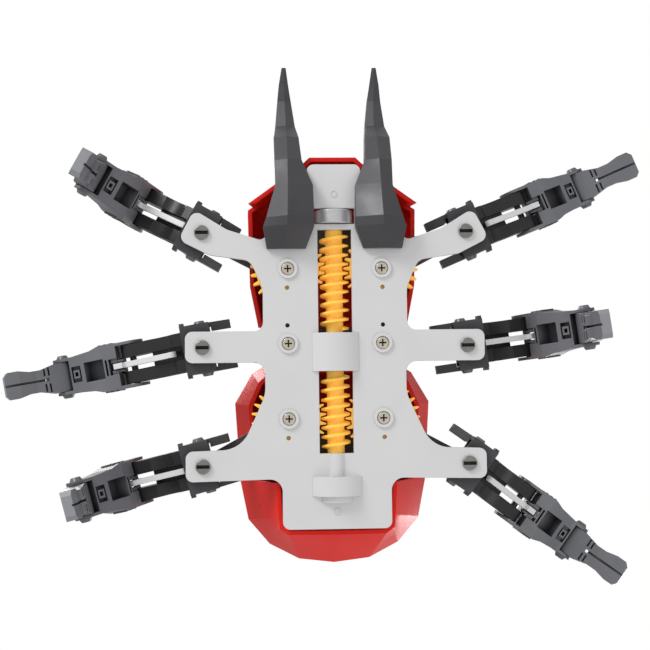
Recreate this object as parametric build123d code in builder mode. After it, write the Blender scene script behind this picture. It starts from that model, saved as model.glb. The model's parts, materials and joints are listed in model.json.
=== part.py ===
from build123d import *
import math
import os

# A six-legged beetle robot with two chassis plates, a worm drive and two red shells.
# Millimetres. +Z is up, the horns point to -Y and +X is the right-hand side seen from below.
# The origin is the centre of the pilot-hole pattern, on the underside of the lower plate.

# Chassis
plate_t = 2.5
upper_z = 16.0
screw_x = 19.1
screw_ys = (-38.1, -7.7, 22.7)
pilot_x = 19.4
pilot_ys = (-30.4, -15.1, 30.4)
pilot_r = 0.9
boss_r, boss_h = 4.0, 0.8
screw_head_r, screw_shank_r = 2.5, 1.3
post_r = 3.2
slot_x, slot_front, slot_rear = 6.9, -54.0, 36.8
tongue_front, tongue_rear = -80.7, 67.1
tongue_x = 22.0

# Hips
hip_x = 53.8
hip_ys = {"front": -53.0, "middle": -6.4, "rear": 41.4}
pin_r, pin_head_r = 1.5, 3.0
running_gap = 0.05

# Drive
worm_z = 5.5
module, wheel_teeth, wheel_t = 1.2, 24, 5.0
pitch = math.pi * module
wheel_pitch_r = module * wheel_teeth / 2
wheel_root_r, wheel_tip_r = 12.8, 15.2
worm_core_r, shaft_r = 3.5, 1.5
gear_y, gear_t, gear_module = 47.3, 4.6, 0.5
gear_teeth, pinion_teeth = 32, 8
motor_z = worm_z + gear_module * (gear_teeth + pinion_teeth) / 2

# Legs: lengths from the lateral hip axis to the knee, the ankle and the toe
hip_axis_z = 10.5
thigh_len, thigh_tilt = 36.9, 32.8
shin_len, foot_len, foot_bend = 32.0, 26.2, 36.0
planted, stretched = -51.0, 15.0
crank_r, crank_lead = 5.0, 40.0
thigh_x, thigh_gap_x = 8.25, 2.9
cheek_x, cheek_gap_x = 9.8, 3.4
# yaw of each leg from straight outboard, towards the horns, and the angle of its shin
legs = {
    "right_front": (22.5, stretched),
    "right_middle": (7.8, planted),
    "right_rear": (-36.2, stretched),
    "left_front": (29.0, planted),
    "left_middle": (-10.0, stretched),
    "left_rear": (-14.5, planted),
}

os.makedirs("parts", exist_ok=True)


def write(name, label):
    """Labels a finished piece and writes its file."""
    name.part.label = label
    export_step(name.part, f"parts/{label}.step")


def both_sides(x, ys):
    """Points at x and -x, for each y."""
    return [(side * x, y) for y in ys for side in (-1, 1)]


screw_points = both_sides(screw_x, screw_ys)
pilot_points = both_sides(pilot_x, pilot_ys)
hip_points = both_sides(hip_x, hip_ys.values())


# --- Chassis plates --------------------------------------------------------------------
lower_outline = [
    ((0, tongue_front), 0),
    ((10.6, tongue_front), 3.0),
    ((13.6, -62.0), 12.0),
    ((14.2, -54.5), 2.0),
    ((26.5, -54.0), 2.0),
    ((29.2, -49.6), 2.5),
    ((43.6, -54.2), 10.0),
    ((56.8, -62.4), 3.2),
    ((63.2, -50.2), 3.2),
    ((50.8, -43.9), 8.0),
    ((34.4, -41.6), 5.0),
    ((29.3, -31.0), 14.0),
    ((29.3, -12.9), 3.6),
    ((60.8, -12.9), 3.0),
    ((60.8, -0.2), 3.0),
    ((28.6, -0.2), 4.5),
    ((28.6, 13.0), 14.0),
    ((38.6, 34.8), 12.0),
    ((60.8, 35.4), 3.0),
    ((60.8, 47.6), 3.0),
    ((tongue_x, 46.8), 5.0),
    ((tongue_x, tongue_rear), 3.0),
    ((0, tongue_rear), 0),
]
with BuildPart() as lower_chassis:
    with BuildSketch():
        with BuildLine():
            FilletPolyline(
                *[point for point, _ in lower_outline],
                radius=[radius for _, radius in lower_outline[1:-1]],
            )
            Line((0, tongue_rear), (0, tongue_front))
        make_face()
        mirror(about=Plane.YZ)
    extrude(amount=plate_t)
    # ring bosses round the screws on the underside, and posts up to the upper plate
    with BuildSketch(Plane.XY.offset(-boss_h)):
        with Locations(*screw_points):
            Circle(boss_r)
    extrude(amount=boss_h)
    with BuildSketch(Plane.XY.offset(plate_t)):
        with Locations(*screw_points):
            Circle(post_r)
    extrude(amount=upper_z - plate_t)
    with BuildSketch(Plane.XY.offset(-boss_h)):
        with Locations(*screw_points):
            Circle(screw_head_r + 0.2)
    extrude(amount=1.2, mode=Mode.SUBTRACT)
    with BuildSketch(Plane.XY.offset(-boss_h)):
        with Locations(*screw_points):
            Circle(screw_shank_r + running_gap)
    extrude(amount=12.0, mode=Mode.SUBTRACT)
    # openings for the worms, the front disc and the shaft gear
    with BuildSketch():
        with Locations((0, (slot_front + slot_rear) / 2)):
            Rectangle(2 * slot_x, slot_rear - slot_front)
        with Locations((0, -59.45)):
            Rectangle(16.6, 6.5)
        with Locations((0, 49.6)):
            Rectangle(18.0, 5.6)
        with Locations(*pilot_points):
            Circle(pilot_r)
        with Locations(*hip_points):
            Circle(pin_r + running_gap)
    extrude(amount=plate_t, mode=Mode.SUBTRACT)
    # shaft bulge on the underside, and webs with journals for the shaft
    with BuildSketch(Plane.XZ.offset(-slot_rear)):
        with BuildLine():
            ThreePointArc((-2.9, 0), (0, -1.6), (2.9, 0))
            Line((2.9, 0), (-2.9, 0))
        make_face()
    extrude(amount=-9.2)
    with BuildSketch(Plane.XY.offset(plate_t)):
        with Locations((0, -66.0), (0, 41.5)):
            Rectangle(9.0, 4.0)
    extrude(amount=worm_z + 4.0 - plate_t)
    # cradle walls beside the motor
    with BuildSketch(Plane.XY.offset(plate_t)):
        with Locations((-7.0, 60.5), (7.0, 60.5)):
            Rectangle(1.6, 10.0)
    extrude(amount=14.0)
    with Locations((0, -66.0, worm_z), (0, 41.5, worm_z)):
        Cylinder(
            shaft_r + running_gap, 6.0, rotation=(90, 0, 0), mode=Mode.SUBTRACT
        )
write(lower_chassis, "lower_chassis")

upper_half = [
    ((0, -60.0), 0),
    ((14.0, -60.0), 4.0),
    ((28.5, -46.0), 4.0),
    ((29.0, -9.0), 4.0),
    ((27.5, 20.0), 10.0),
    ((29.0, 34.0), 4.0),
    ((22.0, 44.0), 4.0),
    ((0, 44.0), 0),
]
with BuildPart() as upper_chassis:
    with BuildSketch(Plane.XY.offset(upper_z)):
        with BuildLine():
            FilletPolyline(
                *[point for point, _ in upper_half],
                radius=[radius for _, radius in upper_half[1:-1]],
            )
            Line((0, 44.0), (0, -60.0))
        make_face()
        mirror(about=Plane.YZ)
    extrude(amount=plate_t)
    # arms that narrow to an eye above each hip pin
    for x, y in hip_points:
        root_y = {-53.0: -45.0, -6.4: -6.4, 41.4: 33.0}[y]
        with BuildSketch(Plane.XY.offset(upper_z)):
            with Locations((x, y)):
                Circle(2.8)
            with Locations((math.copysign(31.0, x), root_y)):
                Circle(6.2)
            make_hull()
            with Locations((math.copysign(24.0, x), root_y)):
                Circle(6.2)
            make_hull()
        extrude(amount=plate_t)
    with BuildSketch(Plane.XY.offset(upper_z)):
        with Locations(*hip_points):
            Circle(pin_r + running_gap)
        with Locations((0, 12.0), (0, -28.0)):
            RectangleRounded(22.0, 26.0, 4.0)
    extrude(amount=plate_t, mode=Mode.SUBTRACT)
write(upper_chassis, "upper_chassis")

# --- Fasteners ------------------------------------------------------------------------
with BuildPart() as chassis_screws:
    with BuildSketch(Plane.XY.offset(-0.7)):
        with Locations(*screw_points):
            Circle(screw_head_r)
    extrude(amount=1.1)
    fillet(
        chassis_screws.faces().sort_by(Axis.Z)[0:6].edges().filter_by(GeomType.CIRCLE), 0.5
    )
    with BuildSketch(Plane.XY.offset(0.4)):
        with Locations(*screw_points):
            Circle(screw_shank_r)
    extrude(amount=9.5)
    with BuildSketch(Plane.XY.offset(-0.7)):
        with Locations(*screw_points):
            Rectangle(2.9, 0.6)
            Rectangle(0.6, 2.9)
    extrude(amount=0.7, mode=Mode.SUBTRACT)
write(chassis_screws, "chassis_screws")

with BuildPart() as hip_pins:
    with BuildSketch(Plane.XY.offset(-1.2)):
        with Locations(*hip_points):
            Circle(pin_head_r)
    extrude(amount=1.2)
    fillet(hip_pins.faces().sort_by(Axis.Z)[0:6].edges().filter_by(GeomType.CIRCLE), 0.4)
    with BuildSketch():
        with Locations(*hip_points):
            Circle(pin_r)
    extrude(amount=upper_z + plate_t)
    with BuildSketch(Plane.XY.offset(upper_z + plate_t)):
        with Locations(*hip_points):
            Circle(2.4)
    extrude(amount=0.9)
    with BuildSketch(Plane.XY.offset(-1.2)):
        with Locations(*hip_points):
            Rectangle(5.2, 1.4)
    extrude(amount=0.8, mode=Mode.SUBTRACT)
write(hip_pins, "hip_pins")

# --- Strap over the worm shaft and cap over the shaft gear ------------------------------


def arch(half_width, depth, wall):
    """The section of a curved strip under the plate, its outline in X and Z."""
    radius = (half_width**2 + depth**2) / (2 * depth)
    inner = radius - wall
    foot = math.sqrt(inner**2 - (radius - depth) ** 2)
    with BuildSketch() as strip:
        with BuildLine():
            ThreePointArc((-half_width, 0), (0, -depth), (half_width, 0))
            Line((half_width, 0), (foot, 0))
            ThreePointArc((foot, 0), (0, wall - depth), (-foot, 0))
            Line((-foot, 0), (-half_width, 0))
        make_face()
    return strip.sketch


strap_front, strap_rear = -11.95, 3.6
with BuildPart() as worm_strap:
    with BuildSketch(Plane.XZ.offset(-strap_front)):
        add(arch(9.55, 4.0, 1.8))
    extrude(amount=strap_front - strap_rear)
    # saddle that carries the middle of the shaft
    with BuildSketch(Plane.XZ.offset(7.2)):
        with BuildLine():
            Polyline((-3.2, -2.3), (3.2, -2.3), (3.2, 7.6), (-3.2, 7.6), (-3.2, -2.3))
        make_face()
        with Locations((0, worm_z)):
            Circle(shaft_r + running_gap, mode=Mode.SUBTRACT)
    extrude(amount=-6.0)
write(worm_strap, "worm_strap")

cap_front, cap_rear, cap_end = 46.0, 53.9, 56.6
with BuildPart() as rear_bearing_cap:
    with BuildSketch(Plane.XZ.offset(-cap_front)):
        add(arch(10.0, 5.0, 1.4))
    extrude(amount=cap_front - cap_rear)
    for start, thick in ((cap_front, 1.2), (cap_rear - 1.2, 1.2)):
        with BuildSketch(Plane.XZ.offset(-start)):
            with BuildLine():
                ThreePointArc((-10.0, 0), (0, -5.0), (10.0, 0))
                Line((10.0, 0), (-10.0, 0))
            make_face()
        extrude(amount=-thick)
    with BuildSketch(Plane.XZ.offset(-cap_rear)):
        with BuildLine():
            ThreePointArc((-6.3, 0), (0, -3.4), (6.3, 0))
            Line((6.3, 0), (-6.3, 0))
        make_face()
    extrude(amount=cap_rear - cap_end)
    fillet(rear_bearing_cap.edges().filter_by(GeomType.CIRCLE).group_by(Axis.Y)[-1], 0.5)
write(rear_bearing_cap, "rear_bearing_cap")

# --- Worm shaft ---------------------------------------------------------------------
with BuildPart() as worm_shaft:
    with BuildSketch(Plane.XZ.offset(69.0)):
        with Locations((0, worm_z)):
            Circle(shaft_r)
    extrude(amount=-124.0)
    with BuildSketch(Plane.XZ.offset(12.0)):
        with Locations((0, worm_z)):
            Circle(2.6)
    extrude(amount=-4.4)
write(worm_shaft, "worm_shaft")

with BuildPart() as front_thrust_disc:
    with BuildSketch(Plane.XZ.offset(62.3)):
        with Locations((0, worm_z)):
            Circle(7.8)
    extrude(amount=-5.7)
    chamfer(front_thrust_disc.edges().filter_by(GeomType.CIRCLE), 0.4)
    with BuildSketch(Plane.XZ.offset(56.6)):
        with Locations((0, worm_z)):
            Circle(2.5)
    extrude(amount=-2.3)
    with BuildSketch(Plane.XZ.offset(63.0)):
        with Locations((0, worm_z)):
            Circle(shaft_r)
    extrude(amount=-9.0, mode=Mode.SUBTRACT)
write(front_thrust_disc, "front_thrust_disc")


def worm(start, end, thread_start, thread_end):
    """A single-start right-hand worm along +Y, its thread on +X where y is thread_start."""
    turns = Helix(
        pitch=pitch,
        height=thread_end - thread_start,
        radius=worm_core_r,
        center=(0, thread_start, worm_z),
        direction=(0, 1, 0),
    )
    with BuildPart() as body:
        with BuildSketch(Plane.XZ.offset(-start)):
            with Locations((0, worm_z)):
                Circle(worm_core_r)
        extrude(amount=start - end)
        with BuildSketch(Plane(turns @ 0, x_dir=(0, 1, 0), z_dir=turns % 0)):
            with BuildLine():
                Polyline((-0.95, -0.3), (0.95, -0.3), (0.4, 2.4), (-0.4, 2.4), (-0.95, -0.3))
            make_face()
        sweep(path=turns, is_frenet=True)
        with BuildSketch(Plane.XZ.offset(-start)):
            with Locations((0, worm_z)):
                Circle(shaft_r)
        extrude(amount=start - end, mode=Mode.SUBTRACT)
    return body


front_worm = worm(-54.0, -12.0, -52.6, -13.4)
write(front_worm, "front_worm")
rear_worm = worm(3.6, 36.8, 5.0, 35.4)
write(rear_worm, "rear_worm")

# --- Worm wheels, gear, pinion and motor -------------------------------------------------


def toothed(teeth, root_r, tip_r, root_half, tip_half, bore_r):
    """The section of a spur gear with straight-sided teeth, the first one on +X."""
    with BuildSketch() as section:
        Circle(root_r)
        with BuildLine():
            Polyline(
                (root_r - 0.3, -root_half),
                (tip_r, -tip_half),
                (tip_r, tip_half),
                (root_r - 0.3, root_half),
                (root_r - 0.3, -root_half),
            )
        tooth = make_face(mode=Mode.PRIVATE)
        with PolarLocations(0, teeth):
            add(tooth)
        Circle(bore_r, mode=Mode.SUBTRACT)
    return section.sketch


def nearest_gap(y, side):
    """The middle of the worm's thread gap nearest to y, on its +X (1) or -X (-1) side."""
    thread_start = -52.6 if y < 0 else 5.0
    gap = thread_start + thread_phase + pitch / 2 * (side < 0) + pitch / 2
    return gap + pitch * round((y - gap) / pitch)


# a helix starts at the top and reaches +X after a quarter of a turn
thread_phase = pitch / 4
for end, y in (("front", screw_ys[0]), ("rear", screw_ys[2])):
    for hand, side in (("left", -1), ("right", 1)):
        turn = -side * math.degrees((nearest_gap(y, side) - y) / wheel_pitch_r)
        start_angle = (180 if side > 0 else 0) + turn
        with BuildPart() as wheel:
            with BuildSketch(Plane.XY.offset(worm_z - wheel_t / 2)):
                with Locations(Location((side * screw_x, y), start_angle)):
                    add(toothed(wheel_teeth, wheel_root_r, wheel_tip_r, 0.85, 0.3, post_r + 0.08))
            extrude(amount=wheel_t)
            # crank pin and thin web
            with BuildSketch(Plane.XY.offset(worm_z + wheel_t / 2)):
                with Locations(Location((side * screw_x, y), start_angle)):
                    with Locations((9.0, 0)):
                        Circle(1.6)
            extrude(amount=4.5)
            with BuildSketch(Plane.XY.offset(worm_z + 0.8)):
                with Locations((side * screw_x, y)):
                    Circle(11.0)
                    Circle(5.2, mode=Mode.SUBTRACT)
                with Locations(Location((side * screw_x, y), start_angle)):
                    with Locations((9.0, 0)):
                        Circle(2.6, mode=Mode.SUBTRACT)
            extrude(amount=3.0, mode=Mode.SUBTRACT)
        write(wheel, f"{hand}_{end}_worm_wheel")

with BuildPart() as shaft_gear:
    with BuildSketch(Plane.XZ.offset(-gear_y)):
        with Locations((0, worm_z)):
            add(toothed(gear_teeth, 7.3, 8.4, 0.45, 0.15, shaft_r))
    extrude(amount=-gear_t)
write(shaft_gear, "shaft_gear")

# a gap of the pinion faces the gear tooth that points straight up
with BuildPart() as motor_pinion:
    with BuildSketch(Plane.XZ.offset(-gear_y - 0.3)):
        with Locations(Location((0, motor_z), 180 / pinion_teeth)):
            add(toothed(pinion_teeth, 1.3, 2.35, 0.42, 0.15, 0.75))
    extrude(amount=-gear_t)
write(motor_pinion, "motor_pinion")

motor_front, motor_rear = 55.4, 66.0
with BuildPart() as motor:
    with BuildSketch(Plane.XZ.offset(-motor_front)):
        with Locations((0, motor_z)):
            Rectangle(12.0, 10.0)
    extrude(amount=motor_front - motor_rear)
    chamfer(motor.edges().filter_by(Axis.Y), 1.6)
    with BuildSketch(Plane.XZ.offset(-gear_y + 0.4)):
        with Locations((0, motor_z)):
            Circle(0.7)
    extrude(amount=gear_y - 0.4 - motor_front)
    with BuildSketch(Plane.XZ.offset(-motor_rear)):
        with Locations((0, motor_z)):
            Circle(2.5)
    extrude(amount=-1.2)
write(motor, "motor")

# --- Horns ----------------------------------------------------------------------------
# y, inner x, outer x, ridge x, underside, shoulder and top
horn_sections = [
    (-46.1, 11.7, 27.5, 19.4, -4.0, -2.0, 0.0),
    (-54.5, 8.4, 28.9, 19.2, -12.6, -6.5, 0.0),
    (-58.2, 8.3, 27.6, 19.1, -13.0, -7.0, 0.0),
    (-71.7, 8.6, 23.8, 18.8, -7.6, -4.0, 2.0),
    (-82.7, 12.9, 24.0, 18.7, -2.4, 0.6, 7.5),
    (-94.0, 13.8, 24.2, 18.7, 8.0, 10.5, 17.0),
    (-101.5, 15.0, 23.4, 18.8, 23.0, 24.5, 28.5),
    (-113.5, 16.5, 22.4, 19.2, 29.5, 30.5, 33.5),
    (-120.5, 17.6, 21.7, 19.6, 29.0, 29.6, 31.6),
    (-127.8, 18.6, 20.4, 19.5, 27.6, 28.0, 28.9),
]
for hand, side in (("left", -1), ("right", 1)):
    with BuildPart() as horn:
        for y, inner, outer, ridge, low, shoulder, top in horn_sections:
            with BuildSketch(Plane.XZ.offset(-y)):
                with BuildLine():
                    Polyline(
                        (side * inner, shoulder),
                        (side * ridge, low),
                        (side * outer, shoulder),
                        (side * outer, top),
                        (side * inner, top),
                        (side * inner, shoulder),
                    )
                make_face()
        loft(ruled=True)
        # the plate sits in a step of the horn
        with BuildSketch():
            with Locations((0, -60.0)):
                Rectangle(64.0, 41.6)
        extrude(amount=12.0, mode=Mode.SUBTRACT)
    write(horn, f"{hand}_horn")

# --- Shells ---------------------------------------------------------------------------


def hull_loft(sections, inset=0):
    """A faceted solid through sections of (z, half outline), drawn in by inset."""
    with BuildPart() as body:
        for z, half in sections:
            with BuildSketch(Plane.XY.offset(z)):
                with BuildLine():
                    Polyline(*half)
                    Line(half[-1], half[0])
                make_face()
                mirror(about=Plane.YZ)
                if inset:
                    offset(amount=-inset, kind=Kind.INTERSECTION)
        loft(ruled=True)
    return body.part


shell_wall = 1.8
thorax = [
    (
        8.5,
        [(0, -85.1), (9.6, -85.1), (13.0, -81.8), (35.0, -66.0), (34.4, -32.7), (31.0, -16.0)]
        + [(0, -15.0)],
    ),
    (
        26.0,
        [(0, -82.0), (9.2, -82.0), (12.8, -79.0), (35.5, -63.8), (34.8, -32.7), (31.4, -15.4)]
        + [(0, -14.4)],
    ),
    (
        44.0,
        [(0, -66.0), (6.5, -66.0), (9.0, -64.4), (23.0, -54.0), (25.0, -33.0), (23.0, -19.4)]
        + [(0, -18.4)],
    ),
]
abdomen = [
    (
        3.0,
        [(0, 6.0), (24.0, 6.0), (28.0, 12.0), (29.0, 19.0), (24.5, 49.0), (23.6, 62.0)]
        + [(23.2, 67.0), (20.0, 69.4), (0, 69.6)],
    ),
    (
        33.0,
        [(0, -0.6), (27.0, -0.6), (34.3, 4.0), (41.7, 16.6), (39.6, 50.0), (36.4, 66.0)]
        + [(27.5, 76.5), (15.0, 83.0), (0, 84.8)],
    ),
    (
        46.0,
        [(0, 4.6), (18.0, 4.6), (23.5, 9.0), (29.0, 19.0), (28.6, 45.0), (25.5, 56.0)]
        + [(20.0, 64.0), (11.0, 70.0), (0, 71.5)],
    ),
]


def hollow(sections):
    """The sections of the cavity inside a shell, open underneath."""
    low, middle, high = sections
    return [(low[0] - 0.01, low[1]), middle, (high[0] - shell_wall, high[1])]


front_outer, front_inner = hull_loft(thorax), hull_loft(hollow(thorax), shell_wall)
with BuildPart() as front_shell:
    add(front_outer)
    add(front_inner, mode=Mode.SUBTRACT)
    # arches over the front arms and the waist
    with BuildSketch():
        with Locations((0, -38.0)):
            Rectangle(90.0, 56.0)
    extrude(amount=19.0, mode=Mode.SUBTRACT)
write(front_shell, "front_shell")

panel_front, panel_rear, panel_x = 8.0, 56.0, 19.0
rear_outer, rear_inner = hull_loft(abdomen), hull_loft(hollow(abdomen), shell_wall)
with BuildPart() as rear_shell:
    add(rear_outer)
    add(rear_inner, mode=Mode.SUBTRACT)
    # arches over the middle and rear arms
    with BuildSketch():
        with Locations((0, 22.0)):
            Rectangle(90.0, 53.0)
    extrude(amount=19.0, mode=Mode.SUBTRACT)
    # seat for the solar panel
    with BuildSketch(Plane.XY.offset(46.0 - 0.8)):
        with Locations((0, (panel_front + panel_rear) / 2)):
            Rectangle(2 * panel_x, panel_rear - panel_front)
    extrude(amount=1.0, mode=Mode.SUBTRACT)
write(rear_shell, "rear_shell")

with BuildPart() as solar_panel:
    with BuildSketch(Plane.XY.offset(46.0 - 0.8)):
        with Locations((0, (panel_front + panel_rear) / 2)):
            Rectangle(2 * panel_x, panel_rear - panel_front)
    extrude(amount=2.4)
    chamfer(solar_panel.faces().sort_by(Axis.Z)[-1].edges(), 0.5)
write(solar_panel, "solar_panel")

# --- Legs: each shape is drawn along +X with Z up, then placed on all six legs ------------
with BuildPart() as bracket_shape:
    # floor, outer wall with its window and ears, and the hub round the hip pin
    with BuildSketch(Plane.XY.offset(2.8)):
        with Locations((2.0, 0)):
            Rectangle(12.0, 20.2)
    extrude(amount=1.6)
    with BuildSketch(Plane.YZ.offset(6.2)):
        with Locations((0, 5.7)):
            Rectangle(22.6, 5.8)
        with Locations((0, 6.4)):
            Rectangle(6.0, 2.6, mode=Mode.SUBTRACT)
        with Locations((-11.3, 2.8), (11.3, 2.8)):
            Circle(1.4, mode=Mode.SUBTRACT)
    extrude(amount=1.8)
    with BuildSketch(Plane.XY.offset(2.8)):
        Circle(2.7)
    extrude(amount=12.9)
    # side walls round the shoulder screws, and the two channel arms that reach inboard
    for side in (-1, 1):
        with BuildSketch(Plane.XZ.offset(side * 8.35)):
            with Locations((0, hip_axis_z)):
                Circle(4.0)
            with BuildLine():
                Polyline((-4.0, 3.0), (7.8, 3.0), (7.8, 6.2), (4.0, 10.5), (-4.0, 10.5), (-4.0, 3.0))
            make_face()
        extrude(amount=side * 1.75)
        with BuildSketch(Plane.XZ.offset(side * 8.35)):
            with BuildLine():
                Polyline((-2.0, 6.0), (-12.5, 10.8), (-12.5, 15.2), (-2.0, 13.2), (-2.0, 6.0))
            make_face()
        extrude(amount=side * 1.75)
        with BuildSketch(Plane.XZ.offset(side * 6.6)):
            with BuildLine():
                Polyline((-4.6, 7.2), (-12.5, 10.8), (-12.5, 12.0), (-4.6, 8.6), (-4.6, 7.2))
            make_face()
            with BuildLine():
                Polyline((-4.6, 12.4), (-12.5, 14.0), (-12.5, 15.2), (-4.6, 13.6), (-4.6, 12.4))
            make_face()
        extrude(amount=side * 1.9)
    with BuildSketch():
        Circle(pin_r + running_gap)
    extrude(amount=upper_z, mode=Mode.SUBTRACT)
    with Locations((0, 0, hip_axis_z)):
        with Locations((0, 9.2, 0), (0, -9.2, 0)):
            Cylinder(screw_shank_r + running_gap, 2.0, rotation=(90, 0, 0), mode=Mode.SUBTRACT)

knee_pin_r = 1.4
with BuildPart() as thigh_shape:
    with BuildSketch(Plane.XZ):
        Circle(4.0)
        with Locations((thigh_len, 0)):
            Circle(4.6)
        make_hull()
    extrude(amount=thigh_x, both=True)
    # waisted lower edge, lightening pockets outside and the gap for the pull rod
    with BuildSketch(Plane.XZ):
        with Locations((17.5, -13.6)):
            Circle(11.0)
    extrude(amount=thigh_x, both=True, mode=Mode.SUBTRACT)
    for side in (-1, 1):
        with BuildSketch(Plane.XZ.offset(side * 6.9)):
            with Locations((12.0, 0.9), (24.5, 0.9)):
                RectangleRounded(10.0, 4.2, 1.0)
        extrude(amount=side * 2.0, mode=Mode.SUBTRACT)
    with BuildSketch(Plane.XZ):
        with Locations((thigh_len / 2, 0)):
            Rectangle(60.0, 12.0)
    extrude(amount=thigh_gap_x, both=True, mode=Mode.SUBTRACT)
    # web that ties the two members together, open near the knee
    with BuildSketch(Plane.XZ):
        with Locations((18.0, 1.2)):
            Rectangle(15.0, 4.6)
    extrude(amount=thigh_gap_x, both=True)
    with BuildSketch(Plane.XZ):
        Circle(screw_shank_r + running_gap)
        with Locations((thigh_len, 0)):
            Circle(knee_pin_r + running_gap)
    extrude(amount=thigh_x, both=True, mode=Mode.SUBTRACT)

with BuildPart() as shoulder_screws_shape:
    for side in (-1, 1):
        with BuildSketch(Plane.XZ.offset(side * 10.1)):
            Circle(2.5)
        extrude(amount=side * 1.3, taper=24)
        with BuildSketch(Plane.XZ.offset(side * 3.6)):
            Circle(screw_shank_r)
        extrude(amount=side * 6.5)
        with BuildSketch(Plane.XZ.offset(side * 10.9)):
            Rectangle(2.4, 0.6)
            Rectangle(0.6, 2.4)
        extrude(amount=side * 1.0, mode=Mode.SUBTRACT)

rod_z, rod_reach = -4.6, 26.6
crank_pin_r = 0.7
with BuildPart() as pull_rod_shape:
    # the slotted eye is centred on the origin of its own length
    with BuildSketch(Plane.XZ):
        with Locations((-rod_reach / 2, rod_z)):
            Rectangle(rod_reach, 2.6)
        with Locations((-rod_reach, rod_z)):
            Circle(1.8)
        with Locations((0, rod_z - 0.2)):
            Rectangle(4.7, 6.2)
        with Locations((0, rod_z)):
            Rectangle(1.7, 3.4, mode=Mode.SUBTRACT)
        with Locations((-rod_reach, rod_z)):
            Circle(0.8, mode=Mode.SUBTRACT)
    extrude(amount=1.15, both=True)

crank_x = crank_r * math.cos(math.radians(crank_lead))
crank_z = -crank_r * math.sin(math.radians(crank_lead))
body_start, fork_start = 5.3, 27.6
with BuildPart() as shin_shape:
    with BuildSketch(Plane.XY):
        with BuildLine():
            Polyline((-5.2, 0), (-5.2, cheek_x), (13.0, cheek_x), (17.0, 8.6), (26.0, 7.75))
            Polyline((26.0, 7.75), (36.2, 7.75), (36.2, 0), (-5.2, 0))
        make_face()
        mirror(about=Plane.XZ)
    extrude(amount=8.0, both=True)
    with BuildSketch(Plane.XZ) as shin_side:
        Circle(5.2)
        with Locations((shin_len, 0)):
            Circle(4.2)
        with BuildLine():
            Polyline((0, -5.2), (5.4, -5.6), (12.0, -6.6), (20.0, -5.4), (26.0, -4.4))
            Polyline((26.0, -4.4), (shin_len, -4.2), (shin_len, 4.2), (24.0, 4.9))
            Polyline((24.0, 4.9), (15.0, 6.0), (6.0, 5.4), (0, 5.2), (0, -5.2))
        make_face()
    extrude(amount=cheek_x, both=True, mode=Mode.INTERSECT)
    # room for the end of the thigh, the pull rod and the root of the foot
    with BuildSketch(Plane.XZ):
        with Locations((body_start - 10.0, 0)):
            Rectangle(20.0, 20.0)
    extrude(amount=thigh_x + 0.3, both=True, mode=Mode.SUBTRACT)
    with BuildSketch(Plane.XZ):
        with Locations((6.75, -4.25)):
            Rectangle(4.5, 11.5)
    extrude(amount=cheek_gap_x, both=True, mode=Mode.SUBTRACT)
    with BuildSketch(Plane.XZ):
        with Locations((fork_start + 6.0, 0)):
            Rectangle(12.0, 20.0)
    extrude(amount=6.45, both=True, mode=Mode.SUBTRACT)
    # deep pocket under the shin, ribs ahead of it, box with a socket behind it
    with BuildSketch(Plane.XY.offset(-8.0)):
        with Locations((15.9, 0)):
            Rectangle(9.2, 8.4)
    extrude(amount=9.2, mode=Mode.SUBTRACT)
    with BuildSketch(Plane.XY.offset(-8.0)):
        with Locations((10.1, 0)):
            Rectangle(0.8, 6.8)
        with Locations((24.6, 0)):
            Rectangle(4.4, 6.8)
            Rectangle(3.0, 3.6, mode=Mode.SUBTRACT)
    extrude(amount=5.0, mode=Mode.SUBTRACT)
    with BuildSketch(Plane.XY.offset(-8.0)):
        with Locations((24.6, 0)):
            Rectangle(1.5, 1.7)
    extrude(amount=6.5, mode=Mode.SUBTRACT)
    # shallow pocket on top
    with BuildSketch(Plane.XY.offset(3.4)):
        with Locations((21.0, 0)):
            Rectangle(7.0, 8.0)
    extrude(amount=5.0, mode=Mode.SUBTRACT)
    # recess round each end of the knee pin, ribs on the cheeks, ankle bosses
    for side in (-1, 1):
        with BuildSketch(Plane.XZ.offset(side * 9.3)):
            Circle(3.3)
            Circle(1.9, mode=Mode.SUBTRACT)
        extrude(amount=side * 1.0, mode=Mode.SUBTRACT)
        with BuildSketch(Plane.XZ.offset(side * cheek_x)):
            with Locations((8.0, 0), (10.6, 0), (13.0, 0)):
                Rectangle(0.9, 8.0)
        extrude(amount=side * 0.5)
        with BuildSketch(Plane.XZ.offset(side * 7.75)):
            with Locations((shin_len, 0)):
                Circle(2.7)
        extrude(amount=side * 1.5, taper=28)
        with BuildSketch(Plane.XZ.offset(side * 6.45)):
            with Locations((shin_len, 0)):
                Circle(knee_pin_r + running_gap)
        extrude(amount=side * 1.2, mode=Mode.SUBTRACT)
        # lug that carries one end of the crank pin
        with BuildSketch(Plane.XZ.offset(side * 1.6)):
            with Locations((crank_x, crank_z)):
                Circle(1.5)
            with Locations((6.4, -3.6)):
                Circle(1.5)
            make_hull()
        extrude(amount=side * 1.0)
        with BuildSketch(Plane.XZ.offset(side * 1.6)):
            with Locations((6.9, -3.6)):
                Rectangle(2.8, 3.0)
        extrude(amount=side * 2.0)
    with BuildSketch(Plane.XZ):
        Circle(knee_pin_r)
    extrude(amount=9.3, both=True)
    with BuildSketch(Plane.XZ):
        with Locations((crank_x, crank_z)):
            Circle(crank_pin_r)
    extrude(amount=1.8, both=True)

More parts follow.
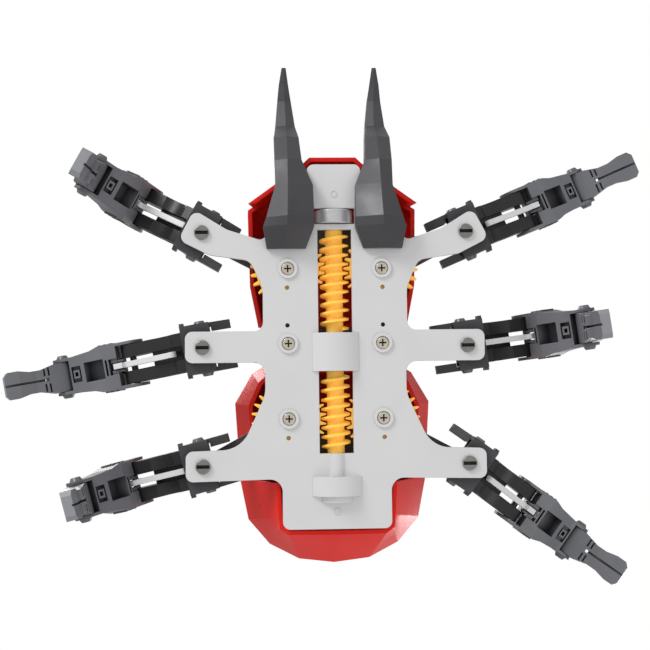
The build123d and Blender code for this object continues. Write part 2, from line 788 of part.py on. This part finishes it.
with BuildPart() as foot_shape:
    with BuildSketch(Plane.XY):
        with BuildLine():
            Polyline((-4.0, 0), (-4.0, 6.25), (4.6, 6.25), (11.0, 4.65), (15.5, 4.65))
            Polyline((15.5, 4.65), (20.4, 5.75), (24.6, 5.75), (foot_len, 4.0), (foot_len, 0), (-4.0, 0))
        make_face()
        mirror(about=Plane.XZ)
    extrude(amount=8.0, both=True)
    with BuildSketch(Plane.XZ):
        Circle(4.0)
        with BuildLine():
            Polyline((0, -4.0), (8.0, -3.9), (13.0, -2.8), (20.0, -3.4), (foot_len, -2.6))
            Polyline((foot_len, -2.6), (foot_len, 1.6), (20.0, 3.0), (12.0, 2.6), (6.0, 4.0))
            Polyline((6.0, 4.0), (0, 4.0), (0, -4.0))
        make_face()
    extrude(amount=7.0, both=True, mode=Mode.INTERSECT)
    # groove between the two toes, small hole in the root and ribs across it
    with BuildSketch(Plane.XY.offset(-8.0)):
        with Locations(((foot_len + 8.0) / 2, 0)):
            Rectangle(foot_len - 8.0, 0.9)
        with Locations((7.6, 4.0), (9.4, 4.0), (7.6, -4.0), (9.4, -4.0)):
            Rectangle(0.7, 4.6)
    extrude(amount=6.0, mode=Mode.SUBTRACT)
    with BuildSketch(Plane.XY.offset(-8.0)):
        with Locations((8.4, 0)):
            Rectangle(1.3, 1.5)
    extrude(amount=16.0, mode=Mode.SUBTRACT)
    with BuildSketch(Plane.XZ):
        Circle(knee_pin_r)
    extrude(amount=7.5, both=True)


def leg_locations(leg):
    """Where a leg's bracket, thigh, pull rod, shin and foot are placed."""
    yaw, shin_angle = legs[leg]
    hand, row = leg.split("_")
    right = hand == "right"
    hip = Location(
        (hip_x if right else -hip_x, hip_ys[row], 0), (0, 0, -yaw if right else 180 + yaw)
    )
    thigh = hip * Location((0, 0, hip_axis_z), (0, -thigh_tilt, 0))
    fold = shin_angle - thigh_tilt
    crank = math.radians(fold - crank_lead)
    rod = thigh * Location((thigh_len + crank_r * math.cos(crank), 0, 0))
    shin = thigh * Location((thigh_len, 0, 0), (0, -fold, 0))
    foot = shin * Location((shin_len, 0, 0), (0, foot_bend, 0))
    return hip, thigh, rod, shin, foot


for leg in legs:
    hip, thigh, rod, shin, foot = leg_locations(leg)
    for shape, location, piece_name in (
        (bracket_shape, hip, "hip_bracket"),
        (thigh_shape, thigh, "thigh"),
        (shoulder_screws_shape, hip * Location((0, 0, hip_axis_z)), "shoulder_screws"),
        (pull_rod_shape, rod, "pull_rod"),
        (shin_shape, shin, "shin"),
        (foot_shape, foot, "foot"),
    ):
        with BuildPart() as piece:
            with Locations(location):
                add(shape.part)
        write(piece, f"{leg}_{piece_name}")
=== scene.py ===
"""A six-legged beetle robot kit: grey and black moulded plastic, amber worm drive, red shells."""

import json
import math

import bmesh
import bpy
from mathutils import Matrix, Vector

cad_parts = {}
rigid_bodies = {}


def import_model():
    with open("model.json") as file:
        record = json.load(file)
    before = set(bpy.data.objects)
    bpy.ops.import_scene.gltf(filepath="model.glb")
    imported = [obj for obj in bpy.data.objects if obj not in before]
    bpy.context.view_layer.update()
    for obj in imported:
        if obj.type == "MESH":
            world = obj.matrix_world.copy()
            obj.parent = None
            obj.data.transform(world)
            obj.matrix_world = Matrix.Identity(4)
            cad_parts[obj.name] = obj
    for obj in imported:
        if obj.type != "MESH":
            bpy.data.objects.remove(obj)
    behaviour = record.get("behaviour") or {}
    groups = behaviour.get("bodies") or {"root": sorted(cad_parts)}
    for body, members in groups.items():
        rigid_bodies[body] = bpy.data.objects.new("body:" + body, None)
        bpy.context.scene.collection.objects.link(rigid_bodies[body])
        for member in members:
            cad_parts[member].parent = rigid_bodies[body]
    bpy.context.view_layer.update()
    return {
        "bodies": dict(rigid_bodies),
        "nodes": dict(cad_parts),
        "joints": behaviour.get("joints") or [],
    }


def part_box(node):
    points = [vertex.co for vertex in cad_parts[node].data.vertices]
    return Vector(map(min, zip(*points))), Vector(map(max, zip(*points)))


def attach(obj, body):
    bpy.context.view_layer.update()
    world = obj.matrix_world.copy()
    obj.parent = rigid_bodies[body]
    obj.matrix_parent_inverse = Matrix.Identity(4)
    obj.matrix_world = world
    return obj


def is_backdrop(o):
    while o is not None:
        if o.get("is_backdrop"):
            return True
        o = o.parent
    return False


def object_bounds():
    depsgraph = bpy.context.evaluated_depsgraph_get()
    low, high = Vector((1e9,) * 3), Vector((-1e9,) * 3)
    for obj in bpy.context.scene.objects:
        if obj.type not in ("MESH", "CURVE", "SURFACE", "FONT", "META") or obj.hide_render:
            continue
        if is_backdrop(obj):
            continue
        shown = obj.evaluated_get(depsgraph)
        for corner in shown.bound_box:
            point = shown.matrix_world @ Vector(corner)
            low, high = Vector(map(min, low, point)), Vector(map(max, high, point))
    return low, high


bl_info = {
    "name": "Beetle Robot Kit",
    "version": (1, 0, 0),
    "blender": (4, 5, 0),
    "location": "View3D > Sidebar > Beetle Robot",
    "description": "Finishes and details of a worm-driven walking beetle robot",
    "category": "Object",
}

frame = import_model()
MM = 0.001
LEGS = sorted(b[: -len("_lower_leg")] for b in frame["bodies"] if b.endswith("_lower_leg"))
KNEES = {j["child"]: Vector(j["pos_m"]) for j in frame["joints"] if j["name"].endswith("_knee")}
HIP_AXES = [Vector(j["pos_m"][:2]) for j in frame["joints"] if j["name"].endswith("_swing")]
SCREW_HEAD_RADIUS = 2.5 * MM


def linear(hex_colour, alpha=1.0):
    """An sRGB hex colour as linear values."""
    parts = [int(hex_colour[i : i + 2], 16) / 255 for i in (1, 3, 5)]
    return tuple(p / 12.92 if p <= 0.04045 else ((p + 0.055) / 1.055) ** 2.4 for p in parts) + (alpha,)


# --- Nodes and materials --------------------------------------------------------------


def add(tree, kind, links=None, **settings):
    """Adds a node, sets its properties and its in_ inputs, and links other nodes' outputs to it."""
    node = tree.nodes.new(kind)
    for key, value in settings.items():
        if key.startswith("in_"):
            node.inputs[key[3:].replace("_", " ")].default_value = value
        else:
            setattr(node, key, value)
    for name, output in (links or {}).items():
        tree.links.new(output, node.inputs[name])
    return node


def new_material(name):
    """An empty material with its principled shader and object coordinates."""
    material = bpy.data.materials.new(name)
    material.use_nodes = True
    tree = material.node_tree
    shader = tree.nodes["Principled BSDF"]
    coords = add(tree, "ShaderNodeTexCoord").outputs["Object"]
    return material, tree, shader, coords


def set_shader(shader, **values):
    """Sets the shader's own sockets; an underscore stands for a space."""
    for name, value in values.items():
        shader.inputs[name.replace("_", " ")].default_value = value


def colour_drift(tree, coords, shader, base, other, size):
    """Lets the colour drift slowly from base to other, over patches of a size in metres."""
    noise = add(tree, "ShaderNodeTexNoise", {"Vector": coords}, in_Scale=1 / size, in_Detail=3.0)
    mix = add(tree, "ShaderNodeMix", {"Factor": noise.outputs["Fac"]}, data_type="RGBA")
    # the mix node has its colours at inputs 6 and 7 and at output 2
    mix.inputs[6].default_value = base
    mix.inputs[7].default_value = other
    colour = mix.outputs[2]
    tree.links.new(colour, shader.inputs["Base Color"])
    return colour


def roughness_range(tree, coords, shader, low, high, size):
    """Lets the roughness wander between low and high, as it does on a surface that is handled."""
    noise = add(tree, "ShaderNodeTexNoise", {"Vector": coords}, in_Scale=1 / size, in_Detail=4.0)
    # nearly all of the noise lies between 0.3 and 0.7
    ends = {"in_From_Min": 0.3, "in_From_Max": 0.7, "in_To_Min": low, "in_To_Max": high}
    spread = add(tree, "ShaderNodeMapRange", {"Value": noise.outputs["Fac"]}, **ends)
    tree.links.new(spread.outputs["Result"], shader.inputs["Roughness"])


def soft_edges(tree, shader, radius, height=None, strength=0.1):
    """Rounds the look of sharp edges by a radius in metres, under an optional bump."""
    normal = add(tree, "ShaderNodeBevel", samples=4, in_Radius=radius).outputs["Normal"]
    if height is not None:
        depth = 0.05 * MM
        links = {"Height": height, "Normal": normal}
        bump = add(tree, "ShaderNodeBump", links, in_Strength=strength, in_Distance=depth)
        normal = bump.outputs["Normal"]
    tree.links.new(normal, shader.inputs["Normal"])


def paint_recess_shade(tree, shader, colour, reach):
    """Paints shade into a colour: darkens it in corners and pockets narrower than a reach in metres."""
    shade = add(tree, "ShaderNodeAmbientOcclusion", {"Color": colour}, samples=8, in_Distance=reach)
    tree.links.new(shade.outputs["Color"], shader.inputs["Base Color"])


def satin_plastic(name, base, other, rough, painted_shade_reach=0):
    """Plastic from a mould with a fine spark-eroded skin: a soft, broad sheen and no mirror."""
    material, tree, shader, coords = new_material(name)
    colour = colour_drift(tree, coords, shader, base, other, 22 * MM)
    # painted shade in corners and pockets, when a reach is given
    if painted_shade_reach:
        paint_recess_shade(tree, shader, colour, painted_shade_reach)
    roughness_range(tree, coords, shader, rough, rough + 0.12, 9 * MM)
    # grain of the mould, drawn 0.5 mm apart so that it shows
    grain = add(tree, "ShaderNodeTexNoise", {"Vector": coords}, in_Scale=1 / (0.5 * MM), in_Detail=2.0)
    soft_edges(tree, shader, 0.35 * MM, grain.outputs["Fac"], 0.18)
    set_shader(shader, IOR=1.53, Specular_IOR_Level=0.5)
    return material


def gloss_abs(name, base, deep):
    """Semi-gloss ABS shell: a saturated red with a soft highlight that stays red."""
    material, tree, shader, coords = new_material(name)
    colour_drift(tree, coords, shader, base, deep, 40 * MM)
    roughness_range(tree, coords, shader, 0.26, 0.36, 14 * MM)
    # faint orange peel of a moulded gloss surface, about 3 mm apart
    peel = add(tree, "ShaderNodeTexNoise", {"Vector": coords}, in_Scale=1 / (3 * MM), in_Detail=1.0)
    soft_edges(tree, shader, 0.8 * MM, peel.outputs["Fac"], 0.06)
    set_shader(shader, IOR=1.46, Specular_IOR_Level=0.14)
    return material


def amber_acetal(name, base, deep):
    """Acetal gear plastic: slightly translucent, waxy, and warmer where it is thin, with a faint painted
    glow.
    """
    material, tree, shader, coords = new_material(name)
    colour_drift(tree, coords, shader, base, deep, 5 * MM)
    roughness_range(tree, coords, shader, 0.26, 0.36, 4 * MM)
    soft_edges(tree, shader, 0.2 * MM)
    set_shader(shader, IOR=1.46, Subsurface_Weight=0.45, Subsurface_Scale=2.0 * MM)
    shader.inputs["Subsurface Radius"].default_value = (1.0, 0.5, 0.12)
    # painted glow: a faint emission that stands in for light the plastic lets through from behind
    set_shader(shader, Emission_Color=base, Emission_Strength=0.13)
    return material


def tumbled_metal(name, base, other, rough, metallic=1.0):
    """Small metal pieces that were tumbled clean: a broken highlight, from scratches every way."""
    material, tree, shader, coords = new_material(name)
    colour_drift(tree, coords, shader, base, other, 2 * MM)
    # scratches 0.25 mm apart, coarser than real ones so that they show
    scratch = add(tree, "ShaderNodeTexNoise", {"Vector": coords}, in_Scale=1 / (0.25 * MM), in_Detail=4.0)
    soft_edges(tree, shader, 0.15 * MM, scratch.outputs["Fac"], 0.25)
    roughness_range(tree, coords, shader, rough, rough + 0.12, 1.5 * MM)
    set_shader(shader, Metallic=metallic)
    return material


def turned_aluminium(name, base, other):
    """Aluminium turned on a lathe: rings round the shaft axis that spread the highlight."""
    material, tree, shader, coords = new_material(name)
    colour_drift(tree, coords, shader, base, other, 6 * MM)
    # rings 2.5 mm apart, much coarser than real tool marks so that they show
    spacing = 2.5 * MM
    rings = add(
        tree,
        "ShaderNodeTexWave",
        {"Vector": coords},
        wave_type="BANDS",
        bands_direction="Y",
        # at a scale of 1 the wave's phase grows by 20 radians in a metre
        in_Scale=2 * math.pi / spacing / 20,
        in_Distortion=0.4,
    )
    soft_edges(tree, shader, 0.2 * MM, rings.outputs["Fac"], 0.35)
    roughness_range(tree, coords, shader, 0.3, 0.42, 2 * MM)
    set_shader(shader, Metallic=0.6)
    return material


def photovoltaic_glass(name, cell, gap):
    """Silicon cells under clear resin: deep blue cells, paler gaps and a hard gloss."""
    material, tree, shader, coords = new_material(name)
    paler_cell = tuple(c * 1.25 for c in cell[:3]) + (1.0,)
    cells = add(
        tree,
        "ShaderNodeTexBrick",
        {"Vector": coords},
        offset=0.0,
        squash=1.0,
        in_Color1=cell,
        in_Color2=paler_cell,
        in_Mortar=gap,
        in_Scale=1.0,
        in_Mortar_Size=0.35 * MM,
        in_Brick_Width=19 * MM,
        in_Row_Height=12 * MM,
    )
    tree.links.new(cells.outputs["Color"], shader.inputs["Base Color"])
    soft_edges(tree, shader, 0.2 * MM, cells.outputs["Fac"], 0.2)
    roughness_range(tree, coords, shader, 0.12, 0.2, 10 * MM)
    set_shader(shader, IOR=1.5, Coat_Weight=0.8, Coat_Roughness=0.05)
    return material


# --- Meshes and finishing -------------------------------------------------------------


def node_names(*endings):
    """CAD nodes whose name ends with one of the endings."""
    return [n for n in sorted(frame["nodes"]) if n.endswith(endings)]


def screw_axes():
    """Axes of the chassis screws: two columns of three, worked out from the box round their heads."""
    low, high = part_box("chassis_screws")
    left, right = low.x + SCREW_HEAD_RADIUS, high.x - SCREW_HEAD_RADIUS
    front, rear = low.y + SCREW_HEAD_RADIUS, high.y - SCREW_HEAD_RADIUS
    return [Vector((x, y)) for x in (left, right) for y in (front, (front + rear) / 2, rear)]


def paint(names, material):
    """Gives CAD nodes one material."""
    for name in names:
        slots = frame["nodes"][name].data.materials
        slots.clear()
        slots.append(material)


def finish_piece(name, mesh, material, body):
    """Links a finished mesh as a piece that rides on a body."""
    mesh.materials.clear()
    mesh.materials.append(material)
    piece = bpy.data.objects.new(name, mesh)
    bpy.context.scene.collection.objects.link(piece)
    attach(piece, body)
    return piece


def mould_rings(name, places, outer, inner, rise):
    """Square-edged rings of two radii that stand down from places on a plate's underside."""
    segments = 40
    profile = ((outer, 0), (outer, -rise), (inner, -rise), (inner, 0))
    form = bmesh.new()
    for place in places:
        slices = []
        for step in range(segments):
            angle = 2 * math.pi * step / segments
            points = [Vector((r * math.cos(angle), r * math.sin(angle), z)) for r, z in profile]
            slices.append([form.verts.new(place + point) for point in points])
        for here, after in zip(slices, slices[1:] + slices[:1]):
            for j in range(len(profile)):
                k = (j + 1) % len(profile)
                form.faces.new((here[j], after[j], after[k], here[k]))
    bmesh.ops.recalc_face_normals(form, faces=form.faces)
    mesh = bpy.data.meshes.new(name)
    form.to_mesh(mesh)
    form.free()
    return mesh


def bar_rows(name, low, high, count, width, height, material):
    """Evenly spaced bars along X over a rectangle, made by geometry nodes and turned to a mesh."""
    tree = bpy.data.node_groups.new(name + "_rows", "GeometryNodeTree")
    sockets = tree.interface
    sockets.new_socket("Geometry", in_out="OUTPUT", socket_type="NodeSocketGeometry")
    sizes = {}
    for label, kind, value in (
        ("Bars", "NodeSocketInt", count),
        ("Spacing", "NodeSocketFloat", (high.y - low.y) / (count - 1)),
        ("Length", "NodeSocketFloat", high.x - low.x),
        ("Width", "NodeSocketFloat", width),
        ("Height", "NodeSocketFloat", height),
    ):
        socket = sockets.new_socket(label, in_out="INPUT", socket_type=kind)
        sizes[socket.identifier] = value
    given = add(tree, "NodeGroupInput").outputs
    step = add(tree, "ShaderNodeCombineXYZ", {"Y": given["Spacing"]})
    start = ((low.x + high.x) / 2, low.y, low.z)
    links = {"Count": given["Bars"], "Offset": step.outputs[0]}
    line = add(tree, "GeometryNodeMeshLine", links, in_Start_Location=start)
    links = {"X": given["Length"], "Y": given["Width"], "Z": given["Height"]}
    size = add(tree, "ShaderNodeCombineXYZ", links)
    bar = add(tree, "GeometryNodeMeshCube", {"Size": size.outputs[0]})
    links = {"Points": line.outputs[0], "Instance": bar.outputs[0]}
    copies = add(tree, "GeometryNodeInstanceOnPoints", links)
    whole = add(tree, "GeometryNodeRealizeInstances", {"Geometry": copies.outputs[0]})
    links = {"Geometry": whole.outputs[0]}
    painted = add(tree, "GeometryNodeSetMaterial", links, in_Material=material)
    add(tree, "NodeGroupOutput", {0: painted.outputs[0]})
    carrier = bpy.data.objects.new(name + "_carrier", bpy.data.meshes.new(name + "_carrier"))
    bpy.context.scene.collection.objects.link(carrier)
    modifier = carrier.modifiers.new("rows", "NODES")
    modifier.node_group = tree
    for identifier, value in sizes.items():
        modifier[identifier] = value
    graph = bpy.context.evaluated_depsgraph_get()
    mesh = bpy.data.meshes.new_from_object(carrier.evaluated_get(graph))
    bpy.data.objects.remove(carrier)
    mesh.name = name
    return mesh


# --- Settings -------------------------------------------------------------------------


class BeetleColours(bpy.types.PropertyGroup):
    """Colours of the moulded parts."""

    light_grey: bpy.props.FloatVectorProperty(
        name="Plate grey",
        description="Lower chassis plate, strap and bearing cap",
        subtype="COLOR",
        size=4,
        default=linear("#D2D1D1"),
    )
    dark_grey: bpy.props.FloatVectorProperty(
        name="Dark grey",
        description="Horns, upper chassis and hip brackets",
        subtype="COLOR",
        size=4,
        default=linear("#47474B"),
    )
    leg_grey: bpy.props.FloatVectorProperty(
        name="Leg grey",
        description="Shins and feet",
        subtype="COLOR",
        size=4,
        default=linear("#74757A"),
    )
    red: bpy.props.FloatVectorProperty(
        name="Shell red",
        description="Front and rear shells",
        subtype="COLOR",
        size=4,
        default=linear("#E8281F"),
    )
    amber: bpy.props.FloatVectorProperty(
        name="Gear amber",
        description="Worms and worm wheels",
        subtype="COLOR",
        size=4,
        default=linear("#FFD062"),
    )


class BeetleSizes(bpy.types.PropertyGroup):
    """Sizes of the small details."""

    cell_fingers: bpy.props.IntProperty(
        name="Cell fingers",
        description="Number of contact lines on the solar panel",
        default=13,
    )
    finger_width: bpy.props.FloatProperty(
        name="Finger width",
        description="Width of one contact line",
        subtype="DISTANCE",
        default=0.25 * MM,
    )
    camera_distance: bpy.props.FloatProperty(
        name="Camera distance",
        description="From the lower plate to the camera under it",
        subtype="DISTANCE",
        default=500 * MM,
    )


# --- Operators ------------------------------------------------------------------------


class BEETLE_OT_chassis(bpy.types.Operator):
    """Finishes the plates, the horns and the metal pieces, and adds the rings of the mould"""

    bl_idname = "beetle.chassis"
    bl_label = "Chassis"

    def execute(self, context):
        colours = context.scene.beetle_colours
        pale = satin_plastic("light_grey_abs", colours.light_grey, linear("#C9C8C9"), 0.42)
        dark = satin_plastic("dark_grey_abs", colours.dark_grey, linear("#3A3A3E"), 0.36)
        paint(["lower_chassis", "worm_strap", "rear_bearing_cap"], pale)
        paint(["upper_chassis", "left_horn", "right_horn"], dark)
        steel = tumbled_metal("nickel_plated_steel", linear("#E9E0D0"), linear("#D3C7B2"), 0.24, 0.6)
        paint(["chassis_screws"], steel)
        zinc = tumbled_metal("zinc_plated_steel", linear("#C9C9CC"), linear("#A9A9AE"), 0.28)
        paint(["worm_shaft", "motor"], zinc)
        blued = tumbled_metal("blued_steel", linear("#A3A3A0"), linear("#858583"), 0.28, 0.7)
        paint(["hip_pins"], blued)
        # painted shade: a dark steel put in the driver recesses of the chassis screws and hip pins
        shade = tumbled_metal("recess_painted_shade", linear("#4A443C"), linear("#37332E"), 0.45)
        self.shade_recess("chassis_screws", screw_axes(), 1.7 * MM, shade)
        self.shade_recess("hip_pins", HIP_AXES, 2.2 * MM, shade)
        low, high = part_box("lower_chassis")
        from_nose, from_tail = 12.0 * MM, 7.0 * MM
        places = [Vector((0, y, 0)) for y in (low.y + from_nose, high.y - from_tail)]
        marks = mould_rings("mould_marks", places, outer=1.5 * MM, inner=1.0 * MM, rise=0.18 * MM)
        finish_piece("mould_marks", marks, pale, "chassis")
        return {"FINISHED"}

    def shade_recess(self, name, axes, radius, material):
        """Paints shade into the driver recesses of screw heads that point down, as a dark steel in the
        hollows.
        """
        skin, depth = 0.12 * MM, 2 * MM
        mesh = frame["nodes"][name].data
        mesh.materials.append(material)
        head_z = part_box(name)[0].z
        for face in mesh.polygons:
            deep = head_z + skin < face.center.z < head_z + depth
            if deep and any((face.center.xy - axis).length < radius for axis in axes):
                face.material_index = 1


class BEETLE_OT_drive(bpy.types.Operator):
    """Finishes the worms, the wheels, the shaft gear, the pinion and the front disc"""

    bl_idname = "beetle.drive"
    bl_label = "Drive"

    def execute(self, context):
        colours = context.scene.beetle_colours
        amber = amber_acetal("amber_acetal", colours.amber, linear("#FFBD42"))
        paint(node_names("_worm", "_worm_wheel"), amber)
        natural = satin_plastic("natural_acetal", linear("#E6E4DE"), linear("#DAD8D0"), 0.34)
        paint(["shaft_gear"], natural)
        brass = tumbled_metal("brass", linear("#D8B25A"), linear("#B48A3C"), 0.24)
        paint(["motor_pinion"], brass)
        disc = turned_aluminium("turned_aluminium", linear("#F2F2F3"), linear("#C9C9CC"))
        paint(["front_thrust_disc"], disc)
        return {"FINISHED"}


class BEETLE_OT_legs(bpy.types.Operator):
    """Finishes the six legs and paints a highlight on the toes as paler tips"""

    bl_idname = "beetle.legs"
    bl_label = "Legs"

    def execute(self, context):
        colours = context.scene.beetle_colours
        # the shins, feet and hip brackets get painted shade in corners and pockets within 6 mm and 4 mm
        grey = satin_plastic("leg_grey_abs_recess_shade", colours.leg_grey, linear("#5C5D62"), 0.28, 6 * MM)
        paint(node_names("_shin", "_foot"), grey)
        dark = satin_plastic("bracket_grey_abs_recess_shade", colours.dark_grey, linear("#38383C"), 0.26, 4 * MM)
        paint(node_names("_hip_bracket"), dark)
        black = satin_plastic("thigh_black_abs", linear("#2C2A2C"), linear("#222022"), 0.26)
        paint(node_names("_thigh"), black)
        pan = satin_plastic("screw_plastic", linear("#77777A"), linear("#59595C"), 0.22)
        paint(node_names("_shoulder_screws"), pan)
        natural = satin_plastic("white_rod_abs", linear("#DCDCDD"), linear("#CFCFD2"), 0.38)
        paint(node_names("_pull_rod"), natural)
        # painted highlight: the toe tips, which face out and down, get a paler grey
        tip_highlight = satin_plastic("toe_tip_painted_highlight", linear("#909296"), linear("#808287"), 0.4)
        # a toe tip is what lies further than this from its knee
        tip_reach = 50.2 * MM
        for leg in LEGS:
            knee = KNEES[leg + "_lower_leg"]
            mesh = frame["nodes"][leg + "_foot"].data
            mesh.materials.append(tip_highlight)
            for face in mesh.polygons:
                near = min((mesh.vertices[v].co - knee).length for v in face.vertices)
                if near > tip_reach:
                    face.material_index = 1
        return {"FINISHED"}


class BEETLE_OT_shells(bpy.types.Operator):
    """Finishes the red shells and the solar panel with its contact lines"""

    bl_idname = "beetle.shells"
    bl_label = "Shells"

    def execute(self, context):
        colours = context.scene.beetle_colours
        sizes = context.scene.beetle_sizes
        red = gloss_abs("red_gloss_abs", colours.red, linear("#CC1B15"))
        paint(["front_shell", "rear_shell"], red)
        cells = photovoltaic_glass("photovoltaic_cells", linear("#16213F"), linear("#3C4460"))
        paint(["solar_panel"], cells)
        silver = tumbled_metal("printed_silver", linear("#C8CAD0"), linear("#A8AAB2"), 0.3)
        low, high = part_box("solar_panel")
        edge, thickness = 1.6 * MM, 0.08 * MM
        # the bars' middles lie a little under the glass, so that none of them floats
        first = Vector((low.x + edge, low.y + edge, high.z - thickness / 4))
        last = Vector((high.x - edge, high.y - edge, high.z))
        count, width = sizes.cell_fingers, sizes.finger_width
        fingers = bar_rows("cell_fingers", first, last, count, width, thickness, silver)
        finish_piece("cell_fingers", fingers, silver, "chassis")
        return {"FINISHED"}


class BEETLE_OT_stage(bpy.types.Operator):
    """Adds the floor, the lights, the pale surroundings and the camera under the robot"""

    bl_idname = "beetle.stage"
    bl_label = "Stage"

    def execute(self, context):
        scene = context.scene
        self.floor(scene)
        self.lights(scene)
        self.camera(scene)
        scene.view_settings.view_transform = "Standard"
        return {"FINISHED"}

    def floor(self, scene):
        """A pale floor under the feet, which shows only from above and fades out round them."""
        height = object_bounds()[0].z
        half_width, solid_reach, clear_reach = 3000 * MM, 150 * MM, 450 * MM
        signs = ((-1, -1), (1, -1), (1, 1), (-1, 1))
        mesh = bpy.data.meshes.new("floor")
        mesh.from_pydata([(x * half_width, y * half_width, height) for x, y in signs], [], [(0, 1, 2, 3)])
        material, tree, shader, coords = new_material("pale_floor")
        set_shader(shader, Base_Color=linear("#F4F4F4"), Roughness=0.7)
        side = add(tree, "ShaderNodeNewGeometry").outputs["Backfacing"]
        away = add(tree, "ShaderNodeVectorMath", {0: coords}, operation="LENGTH").outputs["Value"]
        ends = {"in_From_Min": solid_reach, "in_From_Max": clear_reach}
        fade = add(tree, "ShaderNodeMapRange", {"Value": away}, **ends)
        hidden = add(tree, "ShaderNodeMath", {0: side, 1: fade.outputs["Result"]}, operation="MAXIMUM")
        clear = add(tree, "ShaderNodeBsdfTransparent")
        links = {0: hidden.outputs[0], 1: shader.outputs[0], 2: clear.outputs[0]}
        mix = add(tree, "ShaderNodeMixShader", links)
        tree.links.new(mix.outputs[0], tree.nodes["Material Output"].inputs["Surface"])
        mesh.materials.append(material)
        floor = bpy.data.objects.new("floor", mesh)
        scene.collection.objects.link(floor)
        floor.visible_shadow = False
        floor.visible_glossy = False
        floor.visible_diffuse = False
        floor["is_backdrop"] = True

    def lights(self, scene):
        """Soft boxes below and above, and a world that looks white but lights the robot less."""
        world = bpy.data.worlds.new("studio")
        world.use_nodes = True
        tree = world.node_tree
        background = tree.nodes["Background"]
        rays = add(tree, "ShaderNodeLightPath").outputs
        # the world is white where it is seen, and lights the robot with less than that
        ends = {"in_To_Min": 0.76, "in_To_Max": 1.0}
        seen = add(tree, "ShaderNodeMapRange", {"Value": rays["Is Camera Ray"]}, **ends)
        # reflections see surroundings half as bright, as a studio behind the lights gives
        ends = {"in_To_Min": 1.0, "in_To_Max": 0.5}
        mirrored = add(tree, "ShaderNodeMapRange", {"Value": rays["Is Glossy Ray"]}, **ends)
        links = {0: seen.outputs["Result"], 1: mirrored.outputs["Result"]}
        strength = add(tree, "ShaderNodeMath", links, operation="MULTIPLY")
        tree.links.new(strength.outputs[0], background.inputs["Strength"])
        background.inputs["Color"].default_value = linear("#FFFFFF")
        scene.world = world
        # places and sizes in metres, power in watts
        for name, place, size, power in (
            ("key_below", (-0.65, -0.75, -0.45), 0.4, 6.5),
            ("fill_below", (0.4, 0.5, -0.7), 0.6, 1.3),
            ("key_above", (-0.5, -0.6, 0.8), 0.5, 6.0),
            ("rim_above", (0.6, 0.5, 0.7), 0.4, 3.5),
        ):
            data = bpy.data.lights.new(name, "AREA")
            data.size, data.energy = size, power
            lamp = bpy.data.objects.new(name, data)
            lamp.location = place
            lamp.rotation_euler = (-Vector(place)).to_track_quat("-Z", "Y").to_euler()
            scene.collection.objects.link(lamp)

    def camera(self, scene):
        """A camera under the robot, a little behind and to the left, that looks up at the plate."""
        place = Vector((-27 * MM, 10.3 * MM, -scene.beetle_sizes.camera_distance))
        target = Vector((-4.2 * MM, -15.1 * MM, 0))
        # the horns point up in the view, turned by a little less than a degree
        upward = Vector((0.012, -1, 0))
        forward = (target - place).normalized()
        right = forward.cross(upward).normalized()
        up = right.cross(forward)
        data = bpy.data.cameras.new("camera")
        data.lens = 68.5
        data.sensor_width = 36.0
        camera = bpy.data.objects.new("camera", data)
        turn = Matrix((right, up, -forward)).transposed().to_4x4()
        camera.matrix_world = Matrix.Translation(place) @ turn
        scene.collection.objects.link(camera)
        scene.camera = camera


class BEETLE_PT_panel(bpy.types.Panel):
    """Lists the robot's parts in the sidebar"""

    bl_label = "Beetle Robot"
    bl_idname = "BEETLE_PT_panel"
    bl_space_type = "VIEW_3D"
    bl_region_type = "UI"
    bl_category = "Beetle Robot"

    def draw(self, context):
        for operator in OPERATORS:
            self.layout.operator(operator.bl_idname)


OPERATORS = (BEETLE_OT_chassis, BEETLE_OT_drive, BEETLE_OT_legs, BEETLE_OT_shells, BEETLE_OT_stage)
CLASSES = (BeetleColours, BeetleSizes) + OPERATORS + (BEETLE_PT_panel,)


def register():
    for cls in CLASSES:
        bpy.utils.register_class(cls)
    bpy.types.Scene.beetle_colours = bpy.props.PointerProperty(type=BeetleColours)
    bpy.types.Scene.beetle_sizes = bpy.props.PointerProperty(type=BeetleSizes)


def unregister():
    del bpy.types.Scene.beetle_sizes
    del bpy.types.Scene.beetle_colours
    for cls in reversed(CLASSES):
        bpy.utils.unregister_class(cls)


def main():
    """Makes the whole robot."""
    register()
    for operator in OPERATORS:
        name = operator.bl_idname.split(".")[1]
        getattr(bpy.ops.beetle, name)()


if __name__ == "__main__":
    main()
